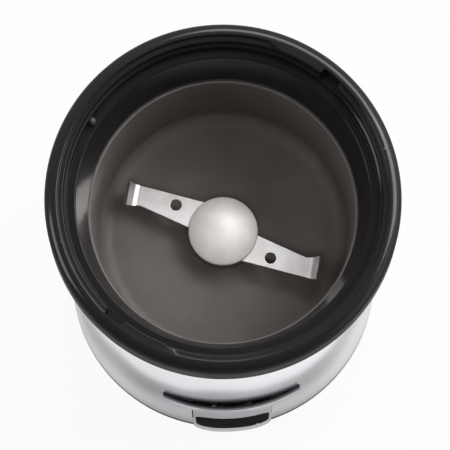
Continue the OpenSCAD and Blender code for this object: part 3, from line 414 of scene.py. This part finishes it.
blade_z, sheet_t = 69.5, 1.2
arm_turn, skew = math.radians(152), math.radians(14)
straight, bend_in, bend_angle, flap = 23.6, 2.4, math.radians(48), 1.4
trail_y, flare_x, tip_flare, tip_x = 2.8, 22.8, math.radians(24), 31
lead_hub_y, lead_taper = 6.4, 4 / straight
hub_r, hub_trail_x, hub_lead_x = 7.6, 7.05, 5.9
hole_x, hole_y, hole_r = 14.3, 1.3, 1.5
half = [(x, trail_y) for x in (hub_trail_x, 12, 17, 20, flare_x)]
half.append((tip_x, trail_y + (tip_x - flare_x) * math.tan(tip_flare)))
half += [(x, lead_taper * x - lead_hub_y) for x in (tip_x, 27, 24, 20, 16, 12, hub_lead_x)]
half += arc(0, 0, hub_r, -52, -158.5, 10)[1:-1]
outline = half + [(-x, -y) for x, y in half]
holes = [arc(s * hole_x, -s * hole_y, hole_r, 0, 360, 40)[:-1] for s in (1, -1)]
blade = plate([outline, *holes], sheet_t)
line = Vector((math.cos(skew), math.sin(skew), 0))
bend_length, bend_steps = bend_angle * (bend_in + sheet_t / 2), 10
cuts = [straight + bend_length * i / bend_steps for i in range(bend_steps + 1)]
cuts.append(straight + bend_length + flap)
for side in (1, -1):
    for place in cuts:
        bmesh.ops.bisect_plane(blade, geom=blade.verts[:] + blade.edges[:] + blade.faces[:],
                               dist=1e-7, plane_co=line * side * place * mm,
                               plane_no=line * side, clear_outer=place == cuts[-1])
open_ends = [e for e in blade.edges if e.is_boundary]
bmesh.ops.holes_fill(blade, edges=open_ends, sides=0)
for vert in blade.verts:
    along = vert.co.dot(line) / mm
    side = 1 if along > 0 else -1
    past = abs(along) - straight
    up = vert.co.z / mm
    if past > 0:
        # Rolls what lies past the bend's line round the bend, and the flap on from there
        bent = min(past / bend_length, 1) * bend_angle
        rest = max(past - bend_length, 0)
        arm = bend_in + sheet_t - up
        reach = straight + arm * math.sin(bent) + rest * math.cos(bent)
        lift = sheet_t + bend_in - arm * math.cos(bent) + rest * math.sin(bent)
        vert.co += line * side * (reach - abs(along)) * mm
        vert.co.z = lift * mm
bmesh.ops.dissolve_limit(blade, angle_limit=math.radians(1), verts=blade.verts[:],
                         edges=blade.edges[:])
rims = [e for e in blade.edges
        if len(e.link_faces) == 2 and e.calc_face_angle(0) > math.radians(50)]
bmesh.ops.bevel(blade, geom=rims, offset=0.12 * mm, offset_type="OFFSET", affect="EDGES",
                segments=2, profile=0.5, material=-1, clamp_overlap=True)
to_hub = Matrix.Translation((0, 0, blade_z * mm)) @ Matrix.Rotation(arm_turn, 4, "Z")
bmesh.ops.transform(blade, verts=blade.verts[:], matrix=to_hub)

steel, steel_shader, shade = new_finish("blade_steel", Metallic=1.0)
rolled = shade.noise(0.00025, 3.0, (30, 1, 1))
cloud = shade.noise(0.005, 4.0, seed=4.0)
mottle(steel_shader, cloud, (0.70, 0.655, 0.63), (0.78, 0.765, 0.76))
feed(steel_shader, "Roughness", rolled * 0.14 + cloud * 0.12 + 0.29)
bump(steel_shader, rolled, 0.000012)
settle("blade", blade, steel, "rotor", sharp=30)

# ---------------------------------------------------------------- blade cap
# Smooth domed nut of metal with a satin pearl finish. It screws down over the blade's hub
# and clamps the blade on the shaft.
cap_r, cap_low, cap_top, dome_rise = 9.15, 70.7, 74.9, 3.4
thread_r, thread_top, dome_steps = 2.42, 73.6, 20
ball = (cap_r ** 2 + dome_rise ** 2) / (2 * dome_rise)
dome = [(cap_r, cap_top - dome_rise, 0.3)]
for i in range(1, dome_steps):
    slope = math.asin(cap_r / ball) * (1 - i / dome_steps)
    dome.append((ball * math.sin(slope), cap_top - ball * (1 - math.cos(slope)), 0))
cap = lathe([(0, thread_top, 0), (thread_r, thread_top, 0), (thread_r, cap_low, 0),
             (cap_r, cap_low, 0.15), *dome, (0, cap_top, 0)], steps=128)
pearl, pearl_shader, shade = new_finish("pearl_cap", Metallic=0.35)
flake = shade.noise(0.00022, 2.0)
cloud = shade.noise(0.004, 3.0, seed=1.5)
mottle(pearl_shader, cloud, (0.71, 0.675, 0.655), (0.77, 0.74, 0.72))
feed(pearl_shader, "Roughness", flake * 0.16 + 0.50)
bump(pearl_shader, flake, 0.000006)
settle("blade_cap", cap, pearl, "rotor")

# ---------------------------------------------------------------- outer shell
# Polished stainless tube, spun with a slight flare towards its foot. It is punched for the
# button at the front and slotted for the cord at the back; fine turned lines remain.
shell_foot_r, shell_top_r, shell_t, shell_low = 42.5, 40.9, 0.7, 5
shell_taper = (shell_foot_r - shell_top_r) / (shell_top - shell_low)
button_low, button_top, button_half, button_corner = 9.25, 41.75, 10.7, 6
brow_r, brow_h = 29.58, 6.5
brow_z = button_top - brow_h + brow_r
button_gap = 0.3
gland_z, gland_slot_r = 14, 5.15


def button_line(grow):
    """Closed outline of the button in X and Z as seen from the front, grown by a gap."""
    radius, corner = brow_r + grow, button_corner + grow
    half, low = button_half + grow, button_low - grow
    tip = math.degrees(math.asin((brow_z - button_top - grow) / radius))
    foot = math.degrees(math.acos(half / radius))
    line = arc(0, brow_z, radius, -tip, -foot, 14)
    line += arc(half - corner, low + corner, corner, 0, -90, 10)
    line += arc(corner - half, low + corner, corner, -90, -180, 10)
    return line + arc(0, brow_z, radius, foot - 180, tip - 180, 14)


def carve(bm, *cutters):
    """Takes closed cutters out of a mesh; all of them are used up."""
    made = []
    for part in (bm, *cutters):
        mesh = bpy.data.meshes.new("carved")
        part.to_mesh(mesh)
        part.free()
        made.append(bpy.data.objects.new("carved", mesh))
        bpy.context.collection.objects.link(made[-1])
    for cutter in made[1:]:
        cut = made[0].modifiers.new("cut", "BOOLEAN")
        cut.operation, cut.solver, cut.object = "DIFFERENCE", "EXACT", cutter
    ready = made[0].evaluated_get(bpy.context.evaluated_depsgraph_get())
    left = bmesh.new()
    left.from_mesh(ready.to_mesh())
    ready.to_mesh_clear()
    for thing in made:
        bpy.data.meshes.remove(thing.data)
    return left


def stand(bm, y):
    """Stands a plate up in X and Z, so that its thickness runs from a depth to the front."""
    upright = Matrix.Translation((0, y * mm, 0)) @ Matrix.Rotation(math.pi / 2, 4, "X")
    bmesh.ops.transform(bm, verts=bm.verts[:], matrix=upright)
    return bm


shell = lathe((
    (shell_foot_r, shell_low, 0.1), (shell_top_r, shell_top, 0.1),
    (shell_top_r - shell_t, shell_top, 0.1), (shell_foot_r - shell_t, shell_low, 0.1)))
cut_depth, front_from, rear_from = 60, -20, 90
front = stand(plate([button_line(button_gap)], cut_depth), front_from)
slot_line = arc(0, gland_z, gland_slot_r, 0, 180, 24)
slot_line += [(-gland_slot_r, shell_low - 1), (gland_slot_r, shell_low - 1)]
rear = stand(plate([slot_line], cut_depth), rear_from)
shell = carve(shell, front, rear)
bmesh.ops.triangulate(shell, faces=[f for f in shell.faces if len(f.verts) > 4])
mirror, mirror_shader, shade = new_finish("polished_steel", Metallic=1.0)
lines = shade.noise(0.00025, 3.0, (60, 60, 1))
cloud = shade.noise(0.02, 3.0, seed=6.0)
mottle(mirror_shader, cloud, (0.675, 0.642, 0.688), (0.705, 0.675, 0.720), high=0.75)
feed(mirror_shader, "Roughness", lines * 0.05 + cloud * 0.05 + 0.04)
bump(mirror_shader, lines, 0.000002)
piece = settle("outer_shell", shell, mirror, "housing", weigh=False)
# The two walls get the true normals of a cone, because long cut faces would show in the polish
normals, near = [], 0.03
for face in piece.data.polygons:
    middle = face.center / mm
    cone_r = shell_foot_r - (middle.z - shell_low) * shell_taper
    off = math.hypot(middle.x, middle.y) - cone_r
    side = 1 if abs(off) < near else -1 if abs(off + shell_t) < near else 0
    on_wall = side and abs(face.normal.z) < 0.1
    for corner in face.loop_indices:
        at = piece.data.vertices[piece.data.loops[corner].vertex_index].co
        away = Vector((at.x, at.y, 0)).normalized() + Vector((0, 0, shell_taper))
        normals.append(away.normalized() * side if on_wall else face.normal)
piece.data.normals_split_custom_set(normals)

# ---------------------------------------------------------------- power button
# Black moulding whose curved face follows the body, ends in a wide brow and is plated with
# chrome. Its bare stem slides in the pocket; a flange on the stem's end keeps it there.
face_r, face_off, face_t = 38.5, 5, 1.0
face_lean, lean_from, lean_over = 1.3, 42.75, 34.5
bend_grid, face_round = 1.0, 0.42
button_z = 25.5
window_half, window_top, window_low = 10.05, 29.75, 14.75
window_round, window_round_low = 2, 5


def bend_face(bm):
    """Lays a flat plate in X and Y on the button's curved face, its underside as deep as face_t."""
    for vert in bm.verts:
        x, z, up = vert.co / mm
        radius = face_r + face_lean * (lean_from - z) / lean_over - (face_t - up)
        vert.co = Vector((x, -face_off - math.sqrt(radius ** 2 - x ** 2), z)) * mm


def grid_cut(bm, step):
    """Cuts a flat plate along a square grid, so that it bends smoothly."""
    for axis in (0, 1):
        spots = [v.co[axis] / mm for v in bm.verts]
        place = math.ceil(min(spots) / step) * step
        while place < max(spots):
            cut = Vector((axis == 0, axis == 1, 0))
            bmesh.ops.bisect_plane(bm, geom=bm.verts[:] + bm.edges[:] + bm.faces[:], dist=1e-7,
                                   plane_co=cut * place * mm, plane_no=cut)
            place += step


def round_rims(bm, width, front_only=True):
    """Rounds the sharp edges of a bent plate, either all or those of its front side."""
    bm.normal_update()
    rims = [e for e in bm.edges
            if len(e.link_faces) == 2 and e.calc_face_angle(0) > math.radians(50)
            and (not front_only or any(f.normal.y < -0.5 for f in e.link_faces))]
    bmesh.ops.bevel(bm, geom=rims, offset=width * mm, offset_type="OFFSET", affect="EDGES",
                    segments=3, profile=0.5, material=-1, clamp_overlap=True)


def window_line(gap):
    """Outline of the window in X and Z, drawn in by a gap; its lower corners are rounder."""
    half, top, low = window_half - gap, window_top - gap, window_low + gap
    turn, wide_turn = window_round, window_round_low
    line = arc(half - turn, top - turn, turn, 0, 90, 6)
    line += arc(turn - half, top - turn, turn, 90, 180, 6)
    line += arc(wide_turn - half, low + wide_turn, wide_turn, 180, 270, 8)
    return line + arc(half - wide_turn, low + wide_turn, wide_turn, 270, 360, 8)


face = plate([button_line(0), window_line(0)], face_t)
grid_cut(face, bend_grid)
bend_face(face)
round_rims(face, face_round, front_only=False)
# Each from its back to its front, as distances ahead of the axis, with its radius
stem, flange = (33.8, 42.2, 4), (32.4, 33.6, 5)
for back, front, radius in (stem, flange):
    middle = Matrix.Translation((0, -(back + front) / 2 * mm, button_z * mm))
    bmesh.ops.create_cone(face, cap_ends=True, segments=48, radius1=radius * mm,
                          radius2=radius * mm, depth=(front - back) * mm,
                          matrix=middle @ Matrix.Rotation(math.pi / 2, 4, "X"))
chrome, chrome_shader, shade = new_finish("button_chrome")
cloud = shade.noise(0.006, 3.0, seed=8.0)
fine = shade.noise(0.0003, 2.0, seed=1.0)
# The chrome ends half a millimetre behind the curved face; back and stem are bare, and the
# bare black band on the brow's top stands in as painted shade for the gap above the button
lean = (lean_from * mm - shade.place("Z")) * (face_lean / lean_over)
rise = shade.from_axis(face_off * mm) - face_r * mm - lean
# Near-black where unplated: bare back and stem, and painted shade on the brow's top
plated = rise.step(-0.00050, -0.00042)
silver = cloud.step(0.3, 0.7).blend((0.72, 0.70, 0.74), (0.78, 0.765, 0.79))
feed(chrome_shader, "Base Color", plated.blend((0.012, 0.012, 0.013), silver))
feed(chrome_shader, "Metallic", plated)
feed(chrome_shader, "Roughness", cloud * 0.06 + fine * 0.04 + 0.43 - plated * 0.4)
bump(chrome_shader, cloud * 0.8 + fine * 0.2, 0.000006)
settle("power_button", face, chrome, "button", sharp=40)

# ---------------------------------------------------------------- button window
# Glossy black moulded insert, pressed into the recess of the button's face, where a lamp or
# a grip patch would be.
window_t, window_gap, glass_round = 0.9, 0.05, 0.25
glass = plate([window_line(window_gap)], window_t)
grid_cut(glass, bend_grid)
bend_face(glass)
round_rims(glass, glass_round)
dark, dark_shader, shade = new_finish("window_black", Specular_IOR_Level=0.0, Coat_Weight=0.04,
                                      Coat_Roughness=0.05)
cloud = shade.noise(0.004, 3.0, seed=9.0)
fine = shade.noise(0.0003, 2.0, seed=2.0)
feed(dark_shader, "Roughness", cloud * 0.04 + fine * 0.05 + 0.13)
mottle(dark_shader, cloud, (0.008, 0.008, 0.011), (0.016, 0.016, 0.019), high=0.75)
bump(dark_shader, cloud, 0.000002)
settle("button_window", glass, dark, "button", sharp=40)


# ---------------------------------------------------------------- button pocket
# Black moulded pocket clipped behind the shell. The button slides in it, the spring rests
# on its back, and two cheeks behind it hold the power switch.
def dress(node, material, width):
    """Gives a CAD piece its finish and rounds its sharp edges by a width, if there is one."""
    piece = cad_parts[node]
    piece.data.materials.clear()
    piece.data.materials.append(material)
    piece.data.shade_smooth()
    weld = piece.modifiers.new("weld", "WELD")
    weld.merge_threshold = 1e-6
    if width:
        edge = piece.modifiers.new("edges", "BEVEL")
        edge.width, edge.segments, edge.limit_method = width * mm, 2, "ANGLE"
        edge.angle_limit, edge.use_clamp_overlap = math.radians(35), True
        edge.harden_normals = True


matt, matt_shader, shade = new_finish("black_matt")
cloud = shade.noise(0.01, 4.0, seed=3.0)
fine = shade.noise(0.0004, 3.0)
mottle(matt_shader, cloud, (0.016, 0.016, 0.017), (0.027, 0.027, 0.028), high=0.75)
feed(matt_shader, "Roughness", cloud * 0.2 + 0.42)
bump(matt_shader, fine * 0.8 + cloud * 0.2, 0.00003)
dress("button_pocket", matt, 0.1)

# ---------------------------------------------------------------- base cover
# Black moulded floor, screwed on from below; its rim carries the shell, and slots let
# the fan's air out.
dress("base_cover", matt, 0.2)

# ---------------------------------------------------------------- rubber feet
# Four soft rubber feet with a fine moulded grain, pressed into round recesses of the base
# cover, so that the grinder doesn't creep on the table.
dress("rubber_feet", rubber, 0.3)

# ---------------------------------------------------------------- screws, nuts, bolts and springs
# Small turned and rolled parts of zinc-plated steel: base and mount screws, the motor's
# bolts and nuts, the shaft and the coil springs of the button and the brushes.
zinc, zinc_shader, shade = new_finish("plated_steel", Metallic=1.0)
cloud = shade.noise(0.003, 4.0, seed=11.0)
fine = shade.noise(0.00025, 2.0, (1, 1, 6))
mottle(zinc_shader, cloud, (0.46, 0.46, 0.47), (0.60, 0.59, 0.62))
feed(zinc_shader, "Roughness", cloud * 0.2 + fine * 0.12 + 0.14)
bump(zinc_shader, fine, 0.000008)
for node in ("base_screws", "mount_screws", "motor_bolts", "motor_nuts", "drive_shaft"):
    dress(node, zinc, 0.08)
for node in ("button_spring", "brush_springs"):
    dress(node, zinc, 0)

# ---------------------------------------------------------------- cord gland
# Soft black rubber sleeve that holds the cord in the back wall; its plate fills the slot
# in the shell's foot.
dress("cord_gland", rubber, 0.3)

# ---------------------------------------------------------------- interlock pin
# Black moulded pin that a lug of the lid presses down, so that the motor only runs with
# the lid locked.
dress("interlock_pin", matt, 0.12)

# ---------------------------------------------------------------- splash disc and seal
# A plain moulded washer on the shaft under the blade, and the red silicone seal in the
# bowl's boss that keeps powder out of the upper bearing.
milky, milky_shader, shade = new_finish("disc_plastic")
cloud = shade.noise(0.003, 3.0, seed=12.0)
mottle(milky_shader, cloud, (0.46, 0.45, 0.42), (0.54, 0.53, 0.50))
feed(milky_shader, "Roughness", cloud * 0.2 + 0.35)
bump(milky_shader, cloud, 0.00002)
dress("splash_disc", milky, 0.12)
silicone, silicone_shader, shade = new_finish("seal_rubber")
fine = shade.noise(0.0004, 3.0, seed=13.0)
cloud = shade.noise(0.003, 3.0, seed=13.5)
mottle(silicone_shader, cloud, (0.18, 0.04, 0.028), (0.26, 0.065, 0.045))
feed(silicone_shader, "Roughness", fine * 0.2 + 0.4)
bump(silicone_shader, fine, 0.00002)
dress("shaft_seal", silicone, 0.15)

# ---------------------------------------------------------------- bearings
# Oil-filled bushes of sintered bronze, one pressed into each motor bracket. The metal is
# porous, so fine pits show on it.
bronze, bronze_shader, shade = new_finish("bearing_bronze", Metallic=1.0)
pores = shade.noise(0.0003, 3.0, seed=14.0)
cloud = shade.noise(0.002, 3.0, seed=14.5)
mottle(bronze_shader, cloud, (0.36, 0.21, 0.09), (0.48, 0.31, 0.14))
feed(bronze_shader, "Roughness", pores * 0.35 + 0.25)
bump(bronze_shader, pores.step(0.35, 0.5), 0.00002)
for node in ("upper_bearing", "lower_bearing"):
    dress(node, bronze, 0.15)

# ---------------------------------------------------------------- motor brackets
# Two die-cast alloy frames that carry the bushes. Long bolts clamp the stator's core
# between them, and a faint cast grain is left on their faces.
alloy, alloy_shader, shade = new_finish("bracket_alloy", Metallic=1.0)
grain = shade.noise(0.0006, 4.0, seed=15.0)
cloud = shade.noise(0.008, 3.0, seed=15.5)
mottle(alloy_shader, cloud, (0.34, 0.35, 0.36), (0.46, 0.47, 0.49))
feed(alloy_shader, "Roughness", grain * 0.3 + cloud * 0.1 + 0.25)
bump(alloy_shader, grain, 0.00003)
for node in ("upper_bracket", "lower_bracket"):
    dress(node, alloy, 0.2)

# ---------------------------------------------------------------- stator and armature cores
# Stacks of punched steel sheets, half a millimetre each, with a bluish oxide on their
# edges. The stator's stack is bolted up, and the armature's is pressed on the shaft.
core, core_shader, shade = new_finish("core_steel", Metallic=1.0)
core_sheet = 0.0005
sheets = shade.maths("SINE", shade.place("Z") * (math.tau / core_sheet))
cloud = shade.noise(0.004, 4.0, seed=16.0)
mottle(core_shader, cloud, (0.15, 0.16, 0.19), (0.26, 0.265, 0.27))
feed(core_shader, "Roughness", cloud * 0.25 + 0.28)
bump(core_shader, sheets, 0.00002)
for node in ("stator_core", "armature_core"):
    dress(node, core, 0.1)

# ---------------------------------------------------------------- windings
# Enamelled copper wire, wound in even layers round the stator's poles and in the slots of
# the armature, and fixed with varnish.
copper, copper_shader, shade = new_finish("copper_wire", Metallic=0.9)
wire_pitch = 0.0006
turns = shade.maths("SINE", shade.place("Z") * (math.tau / wire_pitch))
cloud = shade.noise(0.003, 3.0, seed=17.0)
mottle(copper_shader, cloud, (0.34, 0.10, 0.03), (0.50, 0.17, 0.055))
feed(copper_shader, "Roughness", cloud * 0.2 + 0.22)
bump(copper_shader, turns * 0.8 + cloud * 0.2, 0.00008)
for node in ("stator_coils", "armature_windings"):
    dress(node, copper, 0.3)

# ---------------------------------------------------------------- rubber mounts and inner frame
# Rubber rings, clamped by screws between deck and motor, keep its buzz from the black
# moulded inner frame that carries bowl, collar, motor and switches.
dress("motor_mounts", rubber, 0.2)
dress("inner_frame", matt, 0.15)

# ---------------------------------------------------------------- commutator, brushes and holders
# Hard copper segments, pressed on the shaft, run under two carbon brushes. Springs push
# the brushes along their drawn brass holders.
segment, segment_shader, shade = new_finish("commutator_copper", Metallic=1.0)
cloud = shade.noise(0.002, 3.0, seed=18.0)
scored = shade.noise(0.0002, 2.0, (30, 30, 1), seed=18.5)
mottle(segment_shader, cloud, (0.42, 0.16, 0.06), (0.58, 0.25, 0.11))
feed(segment_shader, "Roughness", scored * 0.3 + 0.15)
bump(segment_shader, scored, 0.00001)
dress("commutator", segment, 0.08)
carbon, carbon_shader, shade = new_finish("carbon")
grain = shade.noise(0.0004, 3.0, seed=19.0)
cloud = shade.noise(0.003, 3.0, seed=19.5)
mottle(carbon_shader, cloud, (0.022, 0.022, 0.024), (0.042, 0.042, 0.045))
feed(carbon_shader, "Roughness", grain * 0.3 + 0.35)
bump(carbon_shader, grain, 0.00002)
dress("carbon_brushes", carbon, 0.1)
brass, brass_shader, shade = new_finish("holder_brass", Metallic=1.0)
drawn = shade.noise(0.0003, 2.0, (20, 20, 1), seed=20.0)
cloud = shade.noise(0.004, 3.0, seed=20.5)
mottle(brass_shader, cloud, (0.48, 0.31, 0.09), (0.62, 0.42, 0.14))
feed(brass_shader, "Roughness", drawn * 0.2 + cloud * 0.1 + 0.15)
bump(brass_shader, drawn, 0.00001)
dress("brush_holders", brass, 0.1)

# ---------------------------------------------------------------- cooling fan
# Moulded nylon fan, pressed on the shaft's foot. It draws air through the motor and
# blows it out by the slots in the base.
nylon, nylon_shader, shade = new_finish("fan_plastic")
cloud = shade.noise(0.006, 4.0, seed=21.0)
fine = shade.noise(0.0005, 2.0, seed=21.5)
mottle(nylon_shader, cloud, (0.55, 0.52, 0.43), (0.65, 0.62, 0.54))
feed(nylon_shader, "Roughness", cloud * 0.2 + fine * 0.1 + 0.3)
bump(nylon_shader, fine, 0.00001)
dress("cooling_fan", nylon, 0.12)

# ---------------------------------------------------------------- switches and their plungers
# Two small snap switches in moulded black cases, each with a red plunger. One sits behind
# the button's stem, the other under the interlock pin.
case, case_shader, shade = new_finish("switch_black")
fine = shade.noise(0.0005, 3.0, seed=22.0)
cloud = shade.noise(0.004, 3.0, seed=22.5)
mottle(case_shader, cloud, (0.028, 0.028, 0.031), (0.045, 0.045, 0.048))
feed(case_shader, "Roughness", fine * 0.2 + cloud * 0.1 + 0.3)
bump(case_shader, fine, 0.00002)
for node in ("power_switch", "lid_switch"):
    dress(node, case, 0.2)
red, red_shader, shade = new_finish("plunger_red")
cloud = shade.noise(0.001, 3.0, seed=23.0)
mottle(red_shader, cloud, (0.38, 0.015, 0.008), (0.52, 0.03, 0.015))
feed(red_shader, "Roughness", cloud * 0.2 + 0.2)
bump(red_shader, cloud, 0.00001)
for node in ("switch_plunger", "lid_switch_plunger"):
    dress(node, red, 0.1)

# ---------------------------------------------------------------- noise filter and leads
# Potted filter in a yellow case, set on a shelf over the cord's inlet, and the two leads
# with blue insulation that run from it to the power switch.
potted, potted_shader, shade = new_finish("filter_yellow")
cloud = shade.noise(0.003, 3.0, seed=24.0)
mottle(potted_shader, cloud, (0.52, 0.31, 0.015), (0.68, 0.43, 0.03))
feed(potted_shader, "Roughness", cloud * 0.25 + 0.22)
bump(potted_shader, cloud, 0.00003)
dress("noise_filter", potted, 0.2)
wire, wire_shader, shade = new_finish("wire_blue")
cloud = shade.noise(0.002, 3.0, seed=25.0)
mottle(wire_shader, cloud, (0.015, 0.045, 0.24), (0.03, 0.08, 0.36))
feed(wire_shader, "Roughness", cloud * 0.2 + 0.35)
bump(wire_shader, cloud, 0.00002)
dress("lead_wires", wire, 0)
